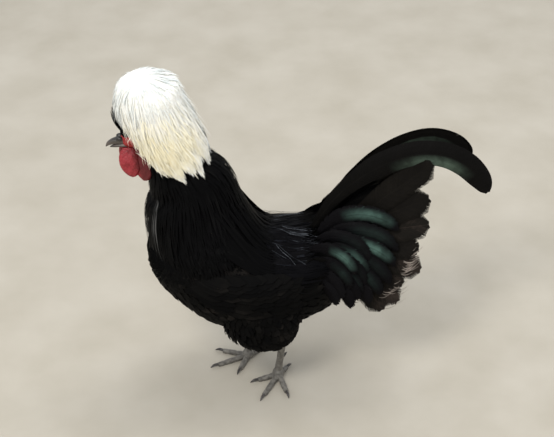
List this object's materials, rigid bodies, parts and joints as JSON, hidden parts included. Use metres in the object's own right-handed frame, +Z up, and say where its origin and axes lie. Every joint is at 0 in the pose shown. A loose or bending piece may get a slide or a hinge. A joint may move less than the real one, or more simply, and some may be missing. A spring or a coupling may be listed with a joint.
{
  "type": "crested cockerel figure",
  "caption": "Life-size standing black cock with a globular white crest, red wattles and arched sickle tail feathers.",
  "frame": {"origin": "on the floor, below the middle of the bird's length and width", "axes": "+Z up; the bird faces -X, along its length; its left side is towards -Y, and its right side towards +Y"},
  "size_m": [0.5092, 0.184, 0.4927],
  "materials": {
    "black_plumage": "black feathers with a soft gloss and a faint blue-green sheen",
    "green_sheen_plumage": "black feathers with a strong green sheen",
    "white_plumage": "matt white feathers, creamy where they lie deepest",
    "red_skin": "bare red skin, finely pebbled, slightly moist",
    "earlobe_skin": "smooth white skin",
    "eye": "wet, reddish brown round a black pupil",
    "horn": "dark slate horn, satin",
    "leg_scales": "slate-grey scales, satin"
  },
  "bodies": {
    "root": {"torso": "black_plumage", "rump": "black_plumage", "neck": "black_plumage", "crest_band": "black_plumage", "wing_left": "black_plumage", "wing_right": "black_plumage", "thigh_left": "black_plumage", "thigh_right": "black_plumage", "tail_fan_left": "black_plumage", "tail_fan_right": "black_plumage", "tail_coverts_left": "green_sheen_plumage", "tail_coverts_right": "green_sheen_plumage", "sickle_left": "green_sheen_plumage", "sickle_right": "green_sheen_plumage", "crest": "white_plumage", "head": "red_skin", "comb": "red_skin", "wattle_left": "red_skin", "wattle_right": "red_skin", "earlobe_left": "earlobe_skin", "earlobe_right": "earlobe_skin", "eye_left": "eye", "eye_right": "eye", "beak_upper": "horn", "beak_lower": "horn", "spur_left": "horn", "spur_right": "horn", "claw_left_1": "horn", "claw_right_1": "horn", "claw_left_2": "horn", "claw_right_2": "horn", "claw_left_3": "horn", "claw_right_3": "horn", "claw_left_4": "horn", "claw_right_4": "horn", "shank_left": "leg_scales", "shank_right": "leg_scales", "foot_left": "leg_scales", "foot_right": "leg_scales"}
  },
  "joints": []
}
